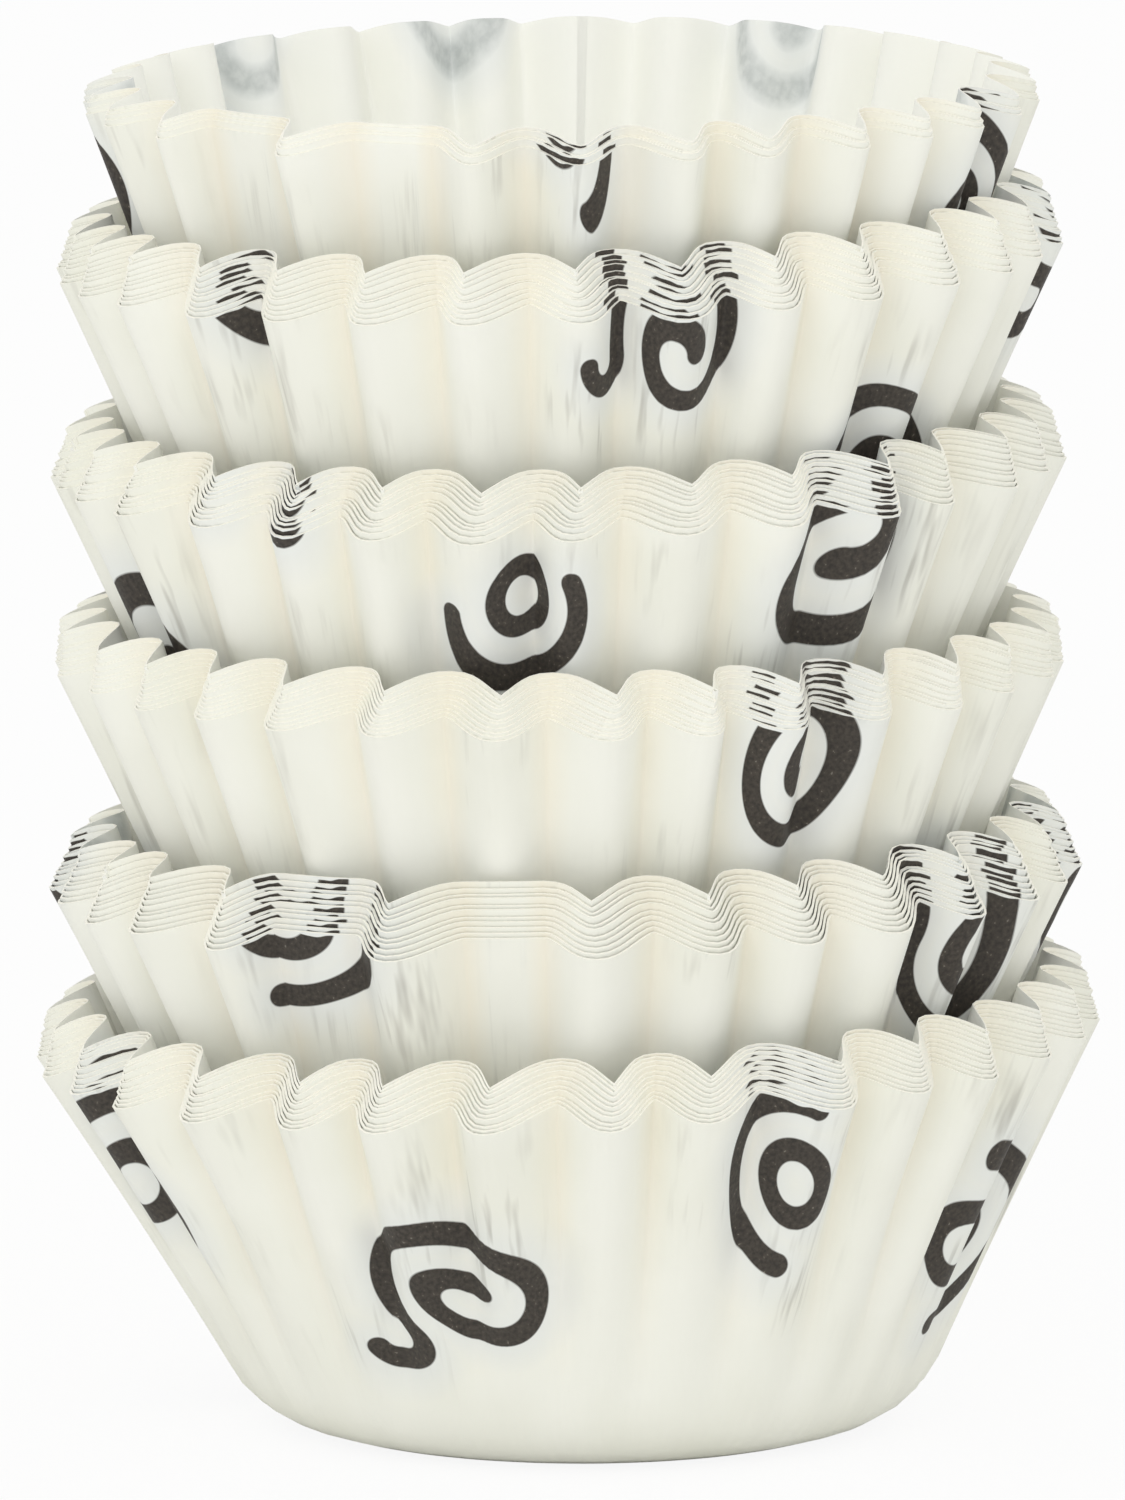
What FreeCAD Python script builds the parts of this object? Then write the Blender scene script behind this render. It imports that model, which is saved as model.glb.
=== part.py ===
"""A stack of pleated paper cupcake liners: five nests of eleven and a top nest of five.

Each liner is a flat disc of greaseproof paper, pressed with its nest into a round cup with a flat floor,
a rounded base corner and a wall of flutes that are deep at the rim and fade out at the base.
Lengths are in millimetres and angles in degrees. The stack stands on z = 0, and its front looks along -Y.
Angles round the stack are measured from the front, towards +X.
"""
import collections
import math
import os
import random

import FreeCAD
import Part

# Flat sheet
disc_diameter = 115.0
paper_thickness = 0.10

# Pressed cup
base_diameter = 50.6
corner_radius = 8.2
corner_steps = 2
flutes_round = 30
flute_depth = 3.5
depth_spread = 0.12
valley_wobble = 1.3

# Shape of a flute across its width, as shares of one flute's pitch
flank_share = 0.25
outer_valley_share = 0.13
inner_valley_share = 0.36
top_outer_valley_share = 0.22
top_inner_valley_share = 0.38
swell = 0.25

# Sheets of one nest lie inside each other
sheets_full = 11
sheets_top = 5
floor_pitch = 0.24
fold_pitch = 0.10

# Nests wedge in each other where crests meet the inward folds of the rim below
seat_clearance = 0.25
seat_steps = 2

Nest = collections.namedtuple(
    "Nest", "name sheets lean closing valleys turn pressed_in fold_lean lopsided disc_shift across")
full_valleys = (outer_valley_share, inner_valley_share)
top_valleys = (top_outer_valley_share, top_inner_valley_share)

# lean: wall from the vertical, and closing: how much less the innermost sheet of a full nest leans
# valleys: share of a flute that its inward fold takes on the outermost and on the innermost sheet
# turn: where the flute nearest the front has its crest
# pressed_in: flutes whose crest was pressed in, which leaves one wide panel between the crests beside it
# fold_lean: sideways creep of the folds per sheet
# lopsided: extra lean on the left, and disc_shift: how far right of the middle the disc was pressed
# across: how far right of the stack's axis the nest stands
nests = [
    Nest("bottom", sheets_full, 25.1, 0.6, full_valleys, 3.2, (), 0.05, 3.6, 1.0, 1.5),
    Nest("second", sheets_full, 22.2, 2.2, full_valleys, 5.0, (-3, -1), -0.05, 0.6, 1.2, 0.1),
    Nest("third", sheets_full, 20.4, -0.4, full_valleys, 2.9, (), 0.08, 1.0, 0.2, 0.2),
    Nest("fourth", sheets_full, 20.6, 1.1, full_valleys, 3.0, (), 0.10, 0.2, 1.0, -0.6),
    Nest("fifth", sheets_full, 20.2, 0.8, full_valleys, 2.5, (), -0.06, 0.2, 1.5, -0.8),
    Nest("top", sheets_top, 16.4, 0.0, top_valleys, 2.3, (-4, -2), 0.05, 0.0, 0.3, -0.2),
]

Flute = collections.namedtuple("Flute", "start end depth fold_depth")


def polar(radius, angle, height):
    """Point at an angle from the front, on a circle round the nest's own axis."""
    turn = math.radians(angle)
    return FreeCAD.Vector(radius * math.sin(turn), -radius * math.cos(turn), height)


def flutes_of(nest):
    """Flutes of a nest from its inward folds: where each starts and ends, and how deep it is."""
    pitch = 360.0 / flutes_round
    chance = random.Random(nest.name)
    folds = []
    for slot in range(-(flutes_round // 2), flutes_round - flutes_round // 2):
        folds.append(nest.turn + (slot + 0.5) * pitch + chance.uniform(-valley_wobble, valley_wobble))
    flutes = []
    for place, end in enumerate(folds):
        start = folds[place - 1] if place else folds[-1] - 360.0
        depth = flute_depth * chance.uniform(1 - depth_spread, 1 + depth_spread)
        fold_depth = flute_depth * chance.uniform(1 - depth_spread, 1)
        flutes.append(Flute(start, end, depth, fold_depth))
    for slot in nest.pressed_in:
        place = slot + flutes_round // 2
        beside = (flutes[place - 1].fold_depth + flutes[place].fold_depth) / 2
        flutes[place] = flutes[place]._replace(depth=-beside)
    return flutes


class Sheet:
    """Sizes of one liner's outer side, counted from the outermost sheet of its nest."""

    def __init__(self, nest, number):
        share = number / (sheets_full - 1)
        self.nest = nest
        self.number = number
        self.lean = nest.lean - nest.closing * share
        self.floor_height = number * floor_pitch
        outermost, innermost = nest.valleys
        self.valley_share = outermost + (innermost - outermost) * number / (nest.sheets - 1)
        bend = 90.0 - self.lean
        base_radius = base_diameter / 2 - number * fold_pitch
        self.floor_radius = base_radius - corner_radius * math.tan(math.radians(bend / 2))
        self.corner = [self.corner_point(bend * step / corner_steps) for step in range(corner_steps + 1)]
        self.paper_in_base = self.floor_radius + corner_radius * math.radians(bend)

    def corner_point(self, bend):
        """Radius and height of the base corner where the paper has turned up by an angle, and that angle."""
        radius = self.floor_radius + corner_radius * math.sin(math.radians(bend))
        height = self.floor_height + corner_radius * (1 - math.cos(math.radians(bend)))
        return radius, height, bend

    def rim(self, angle, offset):
        """Radius and height of the rim, where the paper has its full length whatever the flute does."""
        foot_radius, foot_height, _ = self.corner[-1]
        side = math.sin(math.radians(angle))
        length = disc_diameter / 2 + self.nest.disc_shift * side - self.paper_in_base
        lean = self.lean - self.nest.lopsided * side
        reach = length * math.sin(math.radians(lean)) + offset
        return foot_radius + reach, foot_height + math.sqrt(length ** 2 - reach ** 2)

    def rim_point(self, angle, offset):
        """Point of the rim at an angle, off the wall's mean line by a flute's offset."""
        radius, height = self.rim(angle, offset)
        return polar(radius, angle, height)

    def facet(self, start, end, offset, bulge):
        """Rim of a crest or a fold from side to side, with a middle point where it bulges."""
        creep = self.nest.fold_lean * self.number
        left = self.rim_point(start + creep, offset)
        right = self.rim_point(end + creep, offset)
        if not bulge:
            return [left, right]
        middle = (left + right) * 0.5
        outwards = FreeCAD.Vector(middle.x, middle.y, 0).normalize()
        return [left, middle + outwards * bulge, right]

    def rim_points(self):
        """Rim of the outer side, as the points of each flute's crest and of the fold that ends it.

        Crests bulge on the outermost sheet of a nest, and folds on the innermost sheet of the top nest.
        """
        crest_bulge = swell if self.number == 0 else 0.0
        fold_bulge = -swell if self.nest is nests[-1] and self.number == self.nest.sheets - 1 else 0.0
        points = []
        for flute in flutes_of(self.nest):
            fold = (flute.end - flute.start) * self.valley_share / 2
            shoulder = fold + (flute.end - flute.start) * flank_share
            crest = self.facet(flute.start + shoulder, flute.end - shoulder, flute.depth / 2, crest_bulge)
            valley = self.facet(flute.end - fold, flute.end + fold, -flute.fold_depth / 2, fold_bulge)
            points.append((crest, valley))
        return points

    def rings(self, inset):
        """Rings of the base corner below each crest and each fold, moved inwards by the paper's thickness."""
        angles = []
        for flute in flutes_of(self.nest):
            angles += [(flute.start + flute.end) / 2, flute.end]
        rings = []
        for radius, height, bend in self.corner:
            inner = radius - inset * math.sin(math.radians(bend))
            raised = height + inset * math.cos(math.radians(bend))
            rings.append([polar(inner, angle, raised) for angle in angles])
        return rings


def side_loops(rings, flutes):
    """Faces of one side of a liner, as loops of points that run anticlockwise seen from outside."""
    loops = [list(reversed(rings[0]))]
    count = len(rings[0])
    for below, above in zip(rings, rings[1:]):
        for place in range(count):
            after = (place + 1) % count
            loops.append([below[place], below[after], above[after], above[place]])
    foot = rings[-1]
    for place, (crest, fold) in enumerate(flutes):
        crest_foot = foot[2 * place]
        fold_foot = foot[2 * place + 1]
        next_foot = foot[(2 * place + 2) % count]
        next_crest = flutes[(place + 1) % len(flutes)][0][0]
        loops += [[crest_foot, right, left] for left, right in zip(crest, crest[1:])]
        loops += [[crest_foot, fold[0], crest[-1]], [crest_foot, fold_foot, fold[0]]]
        loops += [[fold_foot, right, left] for left, right in zip(fold, fold[1:])]
        loops += [[fold_foot, next_foot, fold[-1]], [next_foot, next_crest, fold[-1]]]
    return loops


def flat_solid(loops):
    """Closed solid from flat loops of points that share their corners and edges."""
    corners = {}
    edges = {}

    def corner(point):
        key = (round(point.x, 6), round(point.y, 6), round(point.z, 6))
        if key not in corners:
            corners[key] = Part.Vertex(point)
        return key, corners[key]

    faces = []
    for loop in loops:
        sides = []
        for first, second in zip(loop, loop[1:] + loop[:1]):
            first_key, first_corner = corner(first)
            second_key, second_corner = corner(second)
            key = tuple(sorted((first_key, second_key)))
            if key not in edges:
                edges[key] = Part.Edge(first_corner, second_corner)
            sides.append(edges[key])
        face = Part.Face(Part.Wire(sides))
        outwards = (loop[1] - loop[0]).cross(loop[2] - loop[1])
        if face.normalAt(0, 0).dot(outwards) < 0:
            face.reverse()
        faces.append(face)
    return Part.Solid(Part.Shell(faces))


def liner(nest, number, floor_height):
    """One liner: its outer side, its inner side and the cut edge of the paper between them."""
    sheet = Sheet(nest, number)
    outer = sheet.rim_points()
    outer_rim = [point for crest, fold in outer for point in crest + fold]
    middle = FreeCAD.Vector(0, 0, sum(point.z for point in outer_rim) / len(outer_rim))
    shrink = 1 - paper_thickness / sheet.rim(0, 0)[0]
    inner = [[[middle + (point - middle) * shrink for point in side] for side in flute] for flute in outer]
    inner_rim = [point for crest, fold in inner for point in crest + fold]
    loops = side_loops(sheet.rings(0), outer)
    loops += [list(reversed(loop)) for loop in side_loops(sheet.rings(paper_thickness), inner)]
    for place, point in enumerate(outer_rim):
        after = (place + 1) % len(outer_rim)
        loops.append([point, outer_rim[after], inner_rim[after], inner_rim[place]])
    solid = flat_solid(loops)
    solid.translate(FreeCAD.Vector(nest.across, 0, floor_height))
    return solid


def wall_offset(sheet, angle):
    """How far a sheet's rim lies outside the wall's mean line at an angle, in the middle of its flutes."""
    flutes = flutes_of(sheet.nest)
    angle = (angle - sheet.nest.fold_lean * sheet.number - flutes[0].start) % 360.0 + flutes[0].start
    for place, flute in enumerate(flutes):
        if angle < flute.end:
            break
    width = flute.end - flute.start
    from_start = (angle - flute.start) / width
    fold_depth = flute.fold_depth if from_start > 0.5 else flutes[place - 1].fold_depth
    up_flank = (min(from_start, 1 - from_start) - sheet.valley_share / 2) / flank_share
    share = min(max(up_flank, 0.0), 1.0)
    return (flute.depth * share - fold_depth * (1 - share)) / 2


def seat_height(lower, upper):
    """Height of the upper nest's floor above the lower one's, where its wall meets the rim below."""
    inside = Sheet(lower, lower.sheets - 1)
    outside = Sheet(upper, 0)
    foot_radius, foot_height, _ = outside.corner[-1]
    heights = []
    for step in range(360 * seat_steps):
        angle = step / seat_steps
        radius, height = inside.rim(angle, wall_offset(inside, angle))
        rim = polar(radius - paper_thickness, angle, height)
        rim.x += lower.across - upper.across
        angle = math.degrees(math.atan2(rim.x, -rim.y))
        wall_radius, wall_height = outside.rim(angle, wall_offset(outside, angle) + swell)
        room = math.hypot(rim.x, rim.y) - seat_clearance - foot_radius
        share = room / (wall_radius - foot_radius)
        heights.append(rim.z - foot_height - share * (wall_height - foot_height))
    return max(heights)


def floor_heights():
    """Height of each nest's floor above the table."""
    heights = [0.0]
    for lower, upper in zip(nests, nests[1:]):
        heights.append(heights[-1] + seat_height(lower, upper))
    return heights


os.makedirs("parts", exist_ok=True)
for nest, height in zip(nests, floor_heights()):
    for number in range(nest.sheets):
        liner(nest, number, height).exportStep("parts/%s_nest_liner_%02d.step" % (nest.name, number + 1))
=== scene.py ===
"""A stack of pleated cupcake liners, pressed from flat discs of printed greaseproof paper.

Six nests of liners stand in one another. Each liner starts as a flat disc and is pressed into its cup,
so every point keeps its distance along the paper and the print follows the folds.
Sizes are in millimetres and angles in degrees, and points of a mesh are in metres.
"""
import math
import random

import bpy
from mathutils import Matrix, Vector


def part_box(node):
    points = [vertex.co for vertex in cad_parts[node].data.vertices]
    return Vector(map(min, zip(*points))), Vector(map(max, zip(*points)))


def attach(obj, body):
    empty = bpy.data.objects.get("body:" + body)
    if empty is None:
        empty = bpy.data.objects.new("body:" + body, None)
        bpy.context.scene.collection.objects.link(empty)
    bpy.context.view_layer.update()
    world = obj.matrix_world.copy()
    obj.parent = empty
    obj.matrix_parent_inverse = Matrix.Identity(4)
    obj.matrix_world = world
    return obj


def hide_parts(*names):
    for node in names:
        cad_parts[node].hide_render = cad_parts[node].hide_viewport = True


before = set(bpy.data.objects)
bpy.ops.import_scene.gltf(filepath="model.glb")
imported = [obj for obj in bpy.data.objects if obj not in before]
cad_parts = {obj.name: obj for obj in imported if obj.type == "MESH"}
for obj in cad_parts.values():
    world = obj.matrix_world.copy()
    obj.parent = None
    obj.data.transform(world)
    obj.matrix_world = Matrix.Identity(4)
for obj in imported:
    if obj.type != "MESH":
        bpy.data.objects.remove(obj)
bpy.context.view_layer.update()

# The paper is greaseproof, about 40 g/m2, and matt.
# Its outer side is printed with loose curls and rings in a warm black ink, and its inner side is plain,
# so the print shows through it as a pale grey.
sheet_unit = 100.0
cell_of_print = 35.0
stroke_width = 2.15
no_stroke = 99.0
paper_white = "#F7F7EE"
paper_cloud = "#F2F2E7"
inner_white = "#F8F8F1"
# Painted shade: this warm colour, laid along the folds, stands in for light bounced inside the creases.
painted_crease_shade_colour = "#F3E7CD"
halo_blue = "#E6EAEB"
show_through = "#C9CDCB"
ink_black = "#37332F"
ink_brown = "#4B453E"
ink_speck = "#8E887E"
rubbed_ink = "#8F8A80"
# The cut edge's white is partly the bare paper's tone and partly painted light, a glow for light passing
# through the thin rims.
edge_white_and_painted_glow = "#FAF7EC"


def linear(colour):
    """Linear colour of an sRGB hex value."""
    parts = [int(colour[place:place + 2], 16) / 255 for place in (1, 3, 5)]
    return [part / 12.92 if part <= 0.04045 else ((part + 0.055) / 1.055) ** 2.4 for part in parts] + [1.0]


def add(tree, kind, inputs, **settings):
    """Outputs of a new shader node, with its settings and a link or a value for each named input."""
    node = tree.nodes.new("ShaderNode" + kind)
    for name, value in settings.items():
        setattr(node, name, value)
    for place, value in inputs.items():
        if isinstance(value, bpy.types.NodeSocket):
            tree.links.new(value, node.inputs[place])
        else:
            node.inputs[place].default_value = value
    return node.outputs


def sheet_places(tree):
    """Place on the flat sheet in mm, place round the cup in flutes, and share of the way out to the rim."""
    printed = add(tree, "UVMap", {}, uv_map="print")[0]
    flat = add(tree, "VectorMath", {0: printed, 3: sheet_unit}, operation="SCALE")[0]
    pleats = add(tree, "SeparateXYZ", {0: add(tree, "UVMap", {}, uv_map="pleats")[0]})
    return flat, pleats[0], pleats[1]


def between(tree, value, low, high, at_low, at_high):
    """Value carried from one range to another and held at the second range's ends."""
    return add(tree, "MapRange", {0: value, 1: low, 2: high, 3: at_low, 4: at_high})[0]


def distance_to_stroke(tree, flat):
    """Distance in mm from a place on the sheet to the middle line of the nearest printed stroke.

    Each cell of the print holds one scroll, or one ring with an arc over it, turned at random.
    """
    loose = add(tree, "TexNoise", {"Vector": flat, "Scale": 0.045, "Detail": 0.0}, noise_dimensions="2D")[1]
    shift = add(tree, "VectorMath", {0: loose, 1: (0.5, 0.5, 0.5)}, operation="SUBTRACT")[0]
    shift = add(tree, "VectorMath", {0: shift, 1: (9.0, 9.0, 0.0)}, operation="MULTIPLY")[0]
    place = add(tree, "VectorMath", {0: flat, 1: shift}, operation="ADD")[0]
    cells = add(tree, "TexVoronoi", {"Vector": place, "Scale": 1 / cell_of_print, "Randomness": 0.3},
                voronoi_dimensions="2D")
    chance = add(tree, "SeparateColor", {0: cells[1]})
    away = add(tree, "VectorMath", {0: place, 1: cells[2]}, operation="SUBTRACT")[0]
    angle = add(tree, "Math", {0: chance[0], 1: 2 * math.pi}, operation="MULTIPLY")[0]
    turned = add(tree, "VectorRotate", {"Vector": away, "Angle": angle}, rotation_type="Z_AXIS")[0]
    handed = add(tree, "CombineXYZ", {0: between(tree, chance[2], 0.499, 0.501, -1.0, 1.0), 1: 1.0})[0]
    turned = add(tree, "VectorMath", {0: turned, 1: handed}, operation="MULTIPLY")[0]
    here = add(tree, "VectorMath", {0: turned, 1: (-2.0, 1.0, 0.0)}, operation="ADD")[0]
    over = add(tree, "Math", {0: add(tree, "SeparateXYZ", {0: here})[1], 1: 0.0}, operation="GREATER_THAN")[0]

    def from_ring(middle, radius):
        """Distance to a ring, or to a point where the radius is nought."""
        reach = add(tree, "VectorMath", {0: here, 1: (middle, 0.0, 0.0)}, operation="DISTANCE")[1]
        past = add(tree, "Math", {0: reach, 1: radius}, operation="SUBTRACT")[0]
        return add(tree, "Math", {0: past}, operation="ABSOLUTE")[0]

    def nearer(first, second):
        """The smaller of two distances."""
        return add(tree, "Math", {0: first, 1: second}, operation="MINIMUM")[0]

    upper = nearer(from_ring(0.0, 2.4), from_ring(0.0, 6.8))
    lower = nearer(from_ring(2.2, 4.6), from_ring(-9.0, 2.2))
    scroll = add(tree, "Mix", {0: over, 2: lower, 3: upper})[0]
    for join in (2.4, -2.4, 6.8, -6.8, -11.2):
        scroll = nearer(scroll, from_ring(join, 0.0))
    ringed = nearer(from_ring(-2.0, 3.1), nearer(from_ring(-9.6, 0.0), from_ring(5.6, 0.0)))
    ringed = nearer(ringed, add(tree, "Mix", {0: over, 2: no_stroke, 3: from_ring(-2.0, 7.6)})[0])
    choice = add(tree, "Math", {0: chance[1], 1: 0.55}, operation="GREATER_THAN")[0]
    line = add(tree, "Mix", {0: choice, 2: scroll, 3: ringed})[0]
    empty = add(tree, "Math", {0: chance[1], 1: 0.14}, operation="LESS_THAN")[0]
    return add(tree, "Mix", {0: empty, 2: line, 3: no_stroke})[0]


def times(tree, first, second):
    """Product of two values."""
    return add(tree, "Math", {0: first, 1: second}, operation="MULTIPLY")[0]


def tint(tree, share, under, over):
    """Colour over another, by a share."""
    return add(tree, "Mix", {0: share, 6: under, 7: over}, data_type="RGBA")[2]


def paper_surface(tree, colour, flat, around, out, shows):
    """Matt paper, with relief on a sheet that shows.

    The relief is clouds of fibre about 1.5 mm wide, and press lines that run up from the base.
    """
    matt = {"Base Color": colour, "Roughness": 0.62, "Specular IOR Level": 0.32, "IOR": 1.5}
    if not shows:
        add(tree, "OutputMaterial", {"Surface": add(tree, "BsdfPrincipled", matt)[0]})
        return
    clouds = add(tree, "TexNoise", {"Vector": flat, "Scale": 0.7, "Detail": 1.0}, noise_dimensions="2D")[0]
    lines = add(tree, "CombineXYZ", {0: times(tree, around, 5.0), 1: times(tree, out, 3.0)})[0]
    lines = add(tree, "TexNoise", {"Vector": lines, "Scale": 1.0, "Detail": 1.0}, noise_dimensions="2D")[0]
    lines = times(tree, lines, between(tree, out, 0.45, 0.75, 1.2, 0.4))
    height = add(tree, "Math", {0: times(tree, clouds, 0.35), 1: lines}, operation="ADD")[0]
    bump = add(tree, "Bump", {"Strength": 0.6, "Distance": 0.00012, "Height": height})[0]
    add(tree, "OutputMaterial", {"Surface": add(tree, "BsdfPrincipled", {"Normal": bump, **matt})[0]})


def printed_side(name, shows):
    """Outer side: white paper with painted warm shade in its creases, a cool halo round the print, rubbed ink
    and the print.
    """
    material = bpy.data.materials.new(name)
    material.use_nodes = True
    tree = material.node_tree
    tree.nodes.clear()
    flat, around, out = sheet_places(tree)
    clouds = add(tree, "TexNoise", {"Vector": flat, "Scale": 0.06, "Detail": 2.0}, noise_dimensions="2D")[0]
    colour = tint(tree, between(tree, clouds, 0.35, 0.65, 0.0, 1.0), linear(paper_white), linear(paper_cloud))
    from_fold = add(tree, "Math", {0: around, 1: 0.5}, operation="PINGPONG")[0]
    # Painted shade: a warm tint near each fold, growing towards the rim where the flutes are deep.
    painted_crease_shade = times(tree, between(tree, from_fold, 0.0, 0.28, 1.0, 0.0),
                   between(tree, out, 0.55, 0.9, 0.0, 0.4))
    colour = tint(tree, painted_crease_shade, colour, linear(painted_crease_shade_colour))
    line = distance_to_stroke(tree, flat)
    halo = between(tree, line, 1.0, 4.5, 0.55, 0.0)
    colour = tint(tree, halo, colour, linear(halo_blue))
    if shows:
        streaks = add(tree, "CombineXYZ", {0: times(tree, around, 9.0), 1: times(tree, out, 5.0)})[0]
        streaks = add(tree, "TexNoise", {"Vector": streaks, "Scale": 1.0, "Detail": 2.0, "Roughness": 0.7},
                      noise_dimensions="2D")[0]
        rubbed = times(tree, between(tree, streaks, 0.52, 0.72, 0.0, 1.0),
                       between(tree, clouds, 0.48, 0.62, 0.0, 1.0))
        rubbed = times(tree, rubbed, between(tree, line, 1.0, 9.0, 1.0, 0.35))
        rubbed = times(tree, rubbed, between(tree, from_fold, 0.1, 0.3, 0.0, 0.55))
        rubbed = times(tree, rubbed, between(tree, out, 0.5, 0.7, 0.0, 1.0))
        colour = tint(tree, rubbed, colour, linear(rubbed_ink))
    specks = add(tree, "TexNoise", {"Vector": flat, "Scale": 2.6, "Detail": 2.0}, noise_dimensions="2D")[0]
    ink = tint(tree, between(tree, specks, 0.3, 0.7, 0.0, 1.0), linear(ink_black), linear(ink_brown))
    ink = tint(tree, between(tree, specks, 0.73, 0.8, 0.0, 0.6), ink, linear(ink_speck))
    printed = between(tree, line, stroke_width / 2 - 0.07, stroke_width / 2 + 0.07, 1.0, 0.0)
    ragged = add(tree, "TexNoise", {"Vector": flat, "Scale": 0.35, "Detail": 1.0}, noise_dimensions="2D")[0]
    ragged = add(tree, "Math", {0: ragged, 1: -0.012, 2: 1.0032}, operation="MULTIPLY_ADD")[0]
    to_edge = add(tree, "Math", {0: ragged, 1: out}, operation="SUBTRACT")[0]
    printed = times(tree, printed, between(tree, to_edge, -0.0005, 0.0005, 0.0, 1.0))
    colour = tint(tree, printed, colour, ink)
    paper_surface(tree, colour, flat, around, out, shows)
    return material


def plain_side(name, shows):
    """Inner side: the same paper, with the print of its other side showing through."""
    material = bpy.data.materials.new(name)
    material.use_nodes = True
    tree = material.node_tree
    tree.nodes.clear()
    flat, around, out = sheet_places(tree)
    line = distance_to_stroke(tree, flat)
    mottle = add(tree, "TexNoise", {"Vector": flat, "Scale": 1.1, "Detail": 2.0}, noise_dimensions="2D")[0]
    seen = times(tree, between(tree, line, stroke_width / 2 - 0.5, stroke_width / 2 + 0.5, 1.0, 0.0),
                 between(tree, mottle, 0.3, 0.7, 1.0, 0.6))
    halo = between(tree, line, 1.0, 4.0, 0.6, 0.0)
    colour = tint(tree, halo, linear(inner_white), linear(halo_blue))
    colour = tint(tree, seen, colour, linear(show_through))
    paper_surface(tree, colour, flat, around, out, shows)
    return material


def cut_edge(name):
    """Cut edge of the sheet: bare, a little furry and lighter than its faces, partly its own tone and partly
    a painted glow for light through the thin rims.
    """
    material = bpy.data.materials.new(name)
    material.use_nodes = True
    tree = material.node_tree
    tree.nodes.clear()
    place = add(tree, "TexCoord", {})["Object"]
    fur = add(tree, "TexNoise", {"Vector": place, "Scale": 3000.0, "Detail": 1.0})[0]
    # Painted light: the edge is lighter than the faces partly as a glow for light through the rims.
    colour = tint(tree, between(tree, fur, 0.4, 0.7, 0.0, 1.0), linear(edge_white_and_painted_glow), linear(paper_cloud))
    paper_surface(tree, colour, None, None, None, False)
    return material


edge = cut_edge("greaseproof paper, cut edge")
shown_paper = [printed_side("greaseproof paper, printed side", True),
               plain_side("greaseproof paper, plain side", True), edge]
inner_paper = [printed_side("greaseproof paper, printed side of a sheet inside its nest", False),
               plain_side("greaseproof paper, plain side of a sheet inside its nest", False), edge]


# Bottom nest: eleven sheets pressed together into the widest cup of the stack, printed side out.
# It stands on its flat floor, and its wall leans further out on the left than on the right.
# The sheets lie in one another, so each inner one stands a little higher and shows its rim.
disc_diameter = 115.0
disc_radius = disc_diameter / 2
paper_thickness = 0.10
touching_thickness = 0.185
sheet_pitch = 0.18
base_diameter = 50.6
corner_radius = 8.2
flutes_round = 30
flute_depth = 3.5
depth_spread = 0.12
valley_wobble = 1.3
sheets_full = 11
floor_pitch = 0.24
fold_pitch = 0.10
fine_points = 16
plain_points = 12
fine_rings = (17.0, 19.5, 21.5, 23.5, 25.5, 27.5, 29.5, 31.5, 34.5, 38.0, 41.5, 45.0, 48.5, 51.5, 54.5,
              disc_radius)
plain_rings = (17.5, 21.5, 25.5, 29.0, 40.0, 50.0, disc_radius)
least_depth = 0.06


def flat_disc(points_round, rings):
    """Flat disc of paper with its outer side down, made ring by ring out to the cut edge."""
    bpy.ops.object.select_all(action="DESELECT")
    bpy.ops.mesh.primitive_circle_add(vertices=points_round, radius=rings[0] / 1000, fill_type="NGON")
    bpy.ops.object.mode_set(mode="EDIT")
    bpy.ops.mesh.select_all(action="SELECT")
    bpy.ops.mesh.region_to_loop()
    for inner, outer in zip(rings, rings[1:]):
        bpy.ops.mesh.extrude_edges_indiv()
        bpy.ops.transform.resize(value=(outer / inner, outer / inner, 1))
    bpy.ops.mesh.select_all(action="SELECT")
    bpy.ops.mesh.normals_make_consistent(inside=False)
    bpy.ops.object.mode_set(mode="OBJECT")
    disc = bpy.context.object
    if disc.data.polygons[0].normal.z > 0:
        bpy.ops.object.mode_set(mode="EDIT")
        bpy.ops.mesh.flip_normals()
        bpy.ops.object.mode_set(mode="OBJECT")
    return disc


def flutes_of(name, turn, pressed_in):
    """Flutes of a nest, as in the solids: start, end, depth, and depth of the fold before and after."""
    chance = random.Random(name)
    folds = []
    for slot in range(-(flutes_round // 2), flutes_round - flutes_round // 2):
        folds.append(turn + (slot + 0.5) * 360 / flutes_round + chance.uniform(-valley_wobble, valley_wobble))
    depths = []
    for _ in folds:
        depth = flute_depth * chance.uniform(1 - depth_spread, 1 + depth_spread)
        depths.append((depth, flute_depth * chance.uniform(1 - depth_spread, 1)))
    flutes = []
    for place, end in enumerate(folds):
        start = folds[place - 1] if place else folds[-1] - 360
        flutes.append([start, end, depths[place][0], depths[place - 1][1], depths[place][1]])
    for slot in pressed_in:
        flute = flutes[slot + flutes_round // 2]
        flute[2] = -(flute[3] + flute[4]) / 2
    return flutes


def rim_curve(nest, number, points):
    """Points of a sheet's rim: angle, offset and its slope in mm per radian, sideways pull, share of a flute.

    The wave is that of the nest's middle sheet, and the other sheets lie parallel to it.
    """
    curve = []
    for flute, pull in zip(nest["flutes"], nest["pulls"]):
        start, end, depth, fold_before, fold_after = flute
        for point in range(points):
            off = point / points
            wave = 0.5 - 0.5 * math.cos(2 * math.pi * off)
            slope = math.pi * math.sin(2 * math.pi * off)
            fold = fold_before + (fold_after - fold_before) * off
            offset = (depth + fold) / 2 * wave - fold / 2
            slope *= (depth + fold) / 2 / math.radians(end - start)
            angle = start + off * (end - start) + nest["fold_lean"] * number
            curve.append((angle, offset, slope, pull * wave, off))
    return curve


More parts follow.
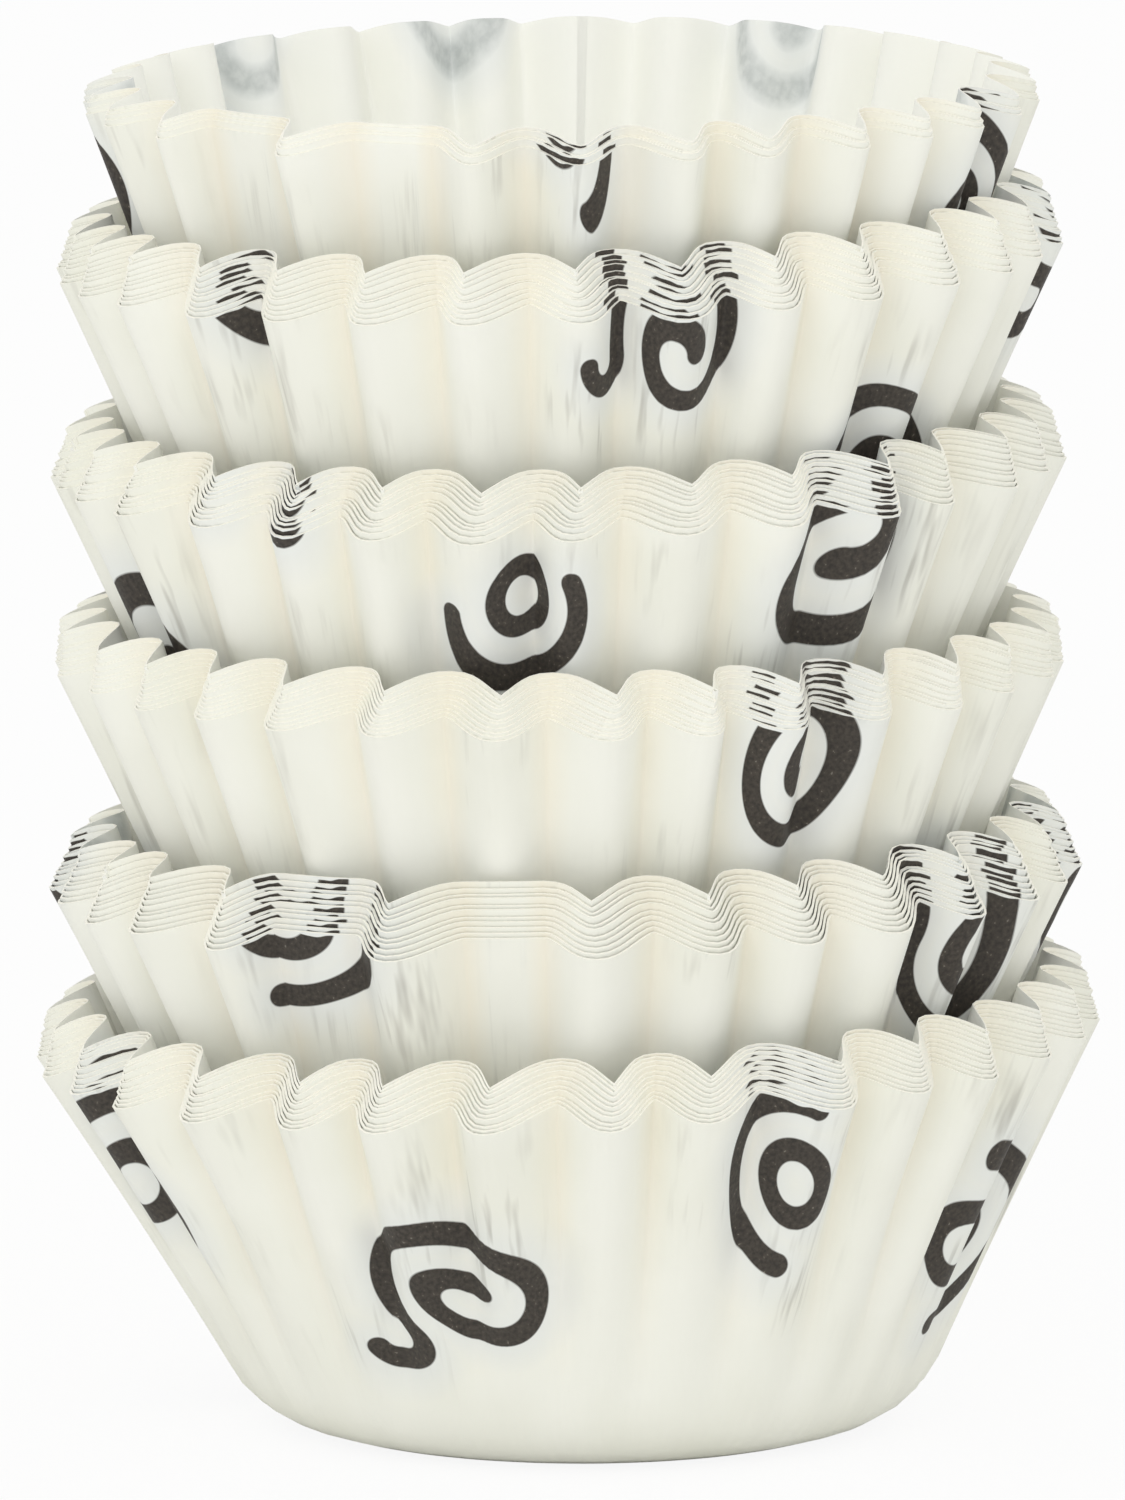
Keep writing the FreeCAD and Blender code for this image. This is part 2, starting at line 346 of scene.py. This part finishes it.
def press(liner, nest, number, points):
    """Presses a flat disc into its cup: each of its points keeps its distance along the paper.

    The flutes are faint at the base corner and grow to their full depth at the rim.
    """
    share = number / (sheets_full - 1)
    lean = nest["lean"] - nest["closing"] * share
    bend = math.radians(90 - lean)
    floor_height = nest["floor"] + number * floor_pitch
    floor_radius = base_diameter / 2 - number * fold_pitch - corner_radius * math.tan(bend / 2)
    paper_in_base = floor_radius + corner_radius * bend
    foot_radius = floor_radius + corner_radius * math.sin(bend)
    foot_height = floor_height + corner_radius * (1 - math.cos(bend))
    slip = nest["slips"][number]
    depth_in_nest = (nest["middle"] - number) * sheet_pitch
    curve = rim_curve(nest, number, points)
    rim = []
    for angle, offset, _, _, _ in curve:
        side = math.sin(math.radians(angle))
        front = math.cos(math.radians(angle))
        length = disc_radius + nest["disc_shift"] * side - paper_in_base
        length += slip[0] * side + slip[1] * front
        here = math.radians(lean - nest["lopsided"] * side)
        reach = length * math.sin(here) + offset
        drop = length * math.cos(here) - math.sqrt(length ** 2 - reach ** 2)
        rim.append((length, here, drop))
    rim_places = []
    for (angle, offset, slope, pull, _), (length, here, _) in zip(curve, rim):
        radius = foot_radius + length * math.sin(here) + offset
        tilt = math.atan2(slope, radius)
        turned = math.radians(angle + pull) - depth_in_nest * math.sin(tilt) / radius
        radius -= depth_in_nest * (1 - math.cos(tilt))
        rim_places.append((radius * math.sin(turned), radius * math.cos(turned)))
    along = [0.0]
    for first, second in zip(rim_places, rim_places[1:] + rim_places[:1]):
        along.append(along[-1] + math.dist(first, second))
    start_angle = curve[0][0]
    mesh = liner.data
    count = len(curve)
    placed = []
    printed = []
    pleated = []
    turn_print, shift_x, shift_y = nest["print"]
    drift_x, drift_y = nest["drifts"][number]
    for vertex in mesh.vertices:
        out = math.hypot(vertex.co.x, vertex.co.y) * 1000
        step = round(math.degrees(math.atan2(vertex.co.x, -vertex.co.y)) / 360 * count) % count
        angle, offset, slope, pull, place = curve[step]
        length, here, drop = rim[step]
        tilt = 0.0
        if out <= floor_radius:
            radius = out
            height = floor_height
            wall = 0.0
        elif out <= paper_in_base:
            turned = (out - floor_radius) / corner_radius
            faint = least_depth * offset * (turned / bend) ** 2
            radius = floor_radius + corner_radius * math.sin(turned) + faint * math.sin(turned)
            height = floor_height + corner_radius * (1 - math.cos(turned)) - faint * math.cos(turned)
            wall = 0.0
        else:
            wall = (out - paper_in_base) / (disc_radius - paper_in_base)
            depth = least_depth + (1 - least_depth) * wall ** 1.1
            radius = foot_radius + wall * length * math.sin(here) + offset * depth
            height = foot_height + wall * length * math.cos(here) - drop * wall ** 2
            tilt = math.atan2(slope * depth, radius)
            radius -= depth_in_nest * (1 - math.cos(tilt))
        slant = nest["slant"] * math.sin(math.radians(angle * 3)) * (1 - wall)
        turned = math.radians(angle + pull * wall + slant)
        if wall:
            turned -= depth_in_nest * math.sin(tilt) / radius
        placed += [(radius * math.sin(turned) + nest["across"]) / 1000, -radius * math.cos(turned) / 1000,
                   height / 1000]
        flat_angle = math.radians(start_angle) + 2 * math.pi * along[step] / along[-1] + turn_print
        printed.append(((out * math.sin(flat_angle) + shift_x + drift_x) / sheet_unit,
                        (-out * math.cos(flat_angle) + shift_y + drift_y) / sheet_unit))
        pleated.append((step // points + place, out / disc_radius))
    corners = [0] * len(mesh.loops)
    mesh.loops.foreach_get("vertex_index", corners)
    for name, places in (("print", printed), ("pleats", pleated)):
        layer = mesh.uv_layers.new(name=name)
        layer.uv.foreach_set("vector", [part for corner in corners for part in places[corner]])
    mesh.vertices.foreach_set("co", placed)
    mesh.update()


def make_nest(name, sheets, **values):
    """All the liners of one nest, each with its own mesh, in the place of its solid."""
    nest = dict(values)
    nest["flutes"] = flutes_of(name, nest["turn"], nest["pressed_in"])
    nest["floor"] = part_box(name + "_nest_liner_01")[0][2] * 1000
    chance = random.Random(name + " looks")
    nest["pulls"] = [chance.uniform(-1.4, 1.4) for _ in nest["flutes"]]
    nest["slips"] = [(chance.uniform(-0.16, 0.16), chance.uniform(-0.16, 0.16)) for _ in range(sheets)]
    nest["drifts"] = [(chance.uniform(-0.7, 0.7), chance.uniform(-0.7, 0.7)) for _ in range(sheets)]
    discs = {}
    for number in range(sheets):
        shown = number in (0, sheets - 1)
        points = fine_points if shown else plain_points
        if points not in discs:
            discs[points] = flat_disc(points * len(nest["flutes"]), fine_rings if shown else plain_rings)
        bpy.ops.object.select_all(action="DESELECT")
        discs[points].select_set(True)
        bpy.context.view_layer.objects.active = discs[points]
        bpy.ops.object.duplicate(linked=False)
        liner = bpy.context.object
        liner.name = "%s_liner_%02d" % (name, number + 1)
        liner.data.name = liner.name
        press(liner, nest, number, points)
        for side in shown_paper if shown else inner_paper:
            liner.data.materials.append(side)
        wall = liner.modifiers.new("paper", "SOLIDIFY")
        wall.thickness = (paper_thickness if number == sheets - 1 else touching_thickness) / 1000
        wall.offset = -1.0
        wall.material_offset = 1
        wall.material_offset_rim = 2
        bpy.ops.object.modifier_apply(modifier="paper")
        bpy.ops.object.shade_smooth_by_angle(angle=math.radians(55))
        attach(liner, "root")
        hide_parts("%s_nest_liner_%02d" % (name, number + 1))
    for disc in discs.values():
        bpy.data.objects.remove(disc)


make_nest("bottom", sheets_full, lean=25.1, closing=0.6, turn=3.2, pressed_in=(), fold_lean=0.05,
          lopsided=3.6, disc_shift=1.0, across=1.5, slant=0.5, middle=4.0, print=(0.4, 3.0, 8.0))

# Second nest: eleven sheets, wedged in the bottom one where its crests meet the folds of that rim.
# Two of its crests were pressed in on the left of the front, which leaves two wide panels.
make_nest("second", sheets_full, lean=22.2, closing=2.2, turn=5.0, pressed_in=(-3, -1), fold_lean=-0.05,
          lopsided=0.6, disc_shift=1.2, across=0.1, slant=0.4, middle=4.0, print=(1.9, -12.0, 21.0))

# Third nest: eleven sheets with an even pleat all round.
# It stands straight on the axis of the stack.
make_nest("third", sheets_full, lean=20.4, closing=-0.4, turn=2.9, pressed_in=(), fold_lean=0.08,
          lopsided=1.0, disc_shift=0.2, across=0.2, slant=0.4, middle=4.0, print=(3.3, 40.0, -7.0))

# Fourth nest: eleven sheets, with folds that creep to the right from sheet to sheet.
# The disc was pressed a little off its middle.
make_nest("fourth", sheets_full, lean=20.6, closing=1.1, turn=3.0, pressed_in=(), fold_lean=0.10,
          lopsided=0.2, disc_shift=1.0, across=-0.6, slant=0.5, middle=4.0, print=(4.6, 18.0, 33.0))

# Fifth nest: eleven sheets, the narrowest of the full nests.
# The disc was pressed off its middle, so its wall is longer on the right.
make_nest("fifth", sheets_full, lean=20.2, closing=0.8, turn=2.5, pressed_in=(), fold_lean=-0.06,
          lopsided=0.2, disc_shift=1.5, across=-0.8, slant=0.5, middle=4.0, print=(5.5, -31.0, 12.0))

# Top nest: five sheets, open to the room, so its plain inner side shows.
# Two crests on the left of the front were pressed in, which leaves two wide panels with a crest between them.
make_nest("top", 5, lean=16.4, closing=0.0, turn=2.3, pressed_in=(-4, -2), fold_lean=0.05, lopsided=0.0,
          disc_shift=0.3, across=-0.2, slant=0.5, middle=1.0, print=(0.9, 27.0, -19.0))

# Camera: the photograph's view, from a long way off and a little above the rims.
# It is drawn as a long lens on a portrait frame, and aims at the middle of the stack's height.
camera_place = (0.0, -1.552, 0.304)
aim_height = 0.0518
film_height = 36.0
rise_to_reach = 750.0 / 20436.0
bpy.ops.object.camera_add(location=camera_place)
camera = bpy.context.object
camera.name = "camera"
camera.rotation_euler = (math.atan2(-camera_place[1], camera_place[2] - aim_height), 0.0, 0.0)
camera.data.sensor_fit = "VERTICAL"
camera.data.sensor_height = film_height
camera.data.lens = film_height / 2 / rise_to_reach
camera.data.clip_start = 0.05
camera.data.clip_end = 60.0
bpy.context.scene.camera = camera

# Studio: a white sweep under and behind the stack, and white all round.
# To the camera the floor is nearly as bright as the sky, and it keeps the stack's shadow.
# It lies 0.1 mm below the base, so that the two faces don't mix.
bpy.ops.object.select_all(action="DESELECT")
bpy.ops.mesh.primitive_plane_add(size=24.0, location=(0.0, 0.0, -0.0001))
floor = bpy.context.object
floor.name = "studio_floor"
sweep = bpy.data.materials.new("white paint on the studio floor")
sweep.use_nodes = True
tree = sweep.node_tree
tree.nodes.clear()
to_camera = add(tree, "LightPath", {})["Is Camera Ray"]
painted = add(tree, "BsdfPrincipled", {"Base Color": linear("#F2F2F0"), "Roughness": 0.8})[0]
bright = add(tree, "Emission", {"Color": (1.0, 1.0, 1.0, 1.0), "Strength": 1.0})[0]
seen = add(tree, "MixShader", {0: times(tree, to_camera, 0.9), 1: painted, 2: bright})[0]
add(tree, "OutputMaterial", {"Surface": seen})
floor.data.materials.append(sweep)

world = bpy.data.worlds.new("white studio")
world.use_nodes = True
tree = world.node_tree
tree.nodes.clear()
to_camera = add(tree, "LightPath", {})["Is Camera Ray"]
strength = add(tree, "Mix", {0: to_camera, 2: 0.88, 3: 1.0})[0]
sky = add(tree, "Background", {"Color": (1.0, 1.0, 1.0, 1.0), "Strength": strength})[0]
add(tree, "OutputWorld", {"Surface": sky})
bpy.context.scene.world = world

# Lamp: one weak, large soft box high above the camera, a little to its left.
# Nearly all of the light comes from the white room, so no fold throws a hard shadow.
lamp_place = (-0.35, -1.6, 1.0)
lamp_aim_height = 0.05
bpy.ops.object.light_add(type="AREA", location=lamp_place)
lamp = bpy.context.object
lamp.name = "soft_box"
lamp.data.energy = 7.0
lamp.data.size = 1.6
lamp_reach = math.hypot(lamp_place[0], lamp_place[1])
lamp.rotation_euler = (math.atan2(lamp_reach, lamp_place[2] - lamp_aim_height), 0.0,
                       math.atan2(lamp_place[0], -lamp_place[1]))

bpy.context.scene.view_settings.view_transform = "Standard"
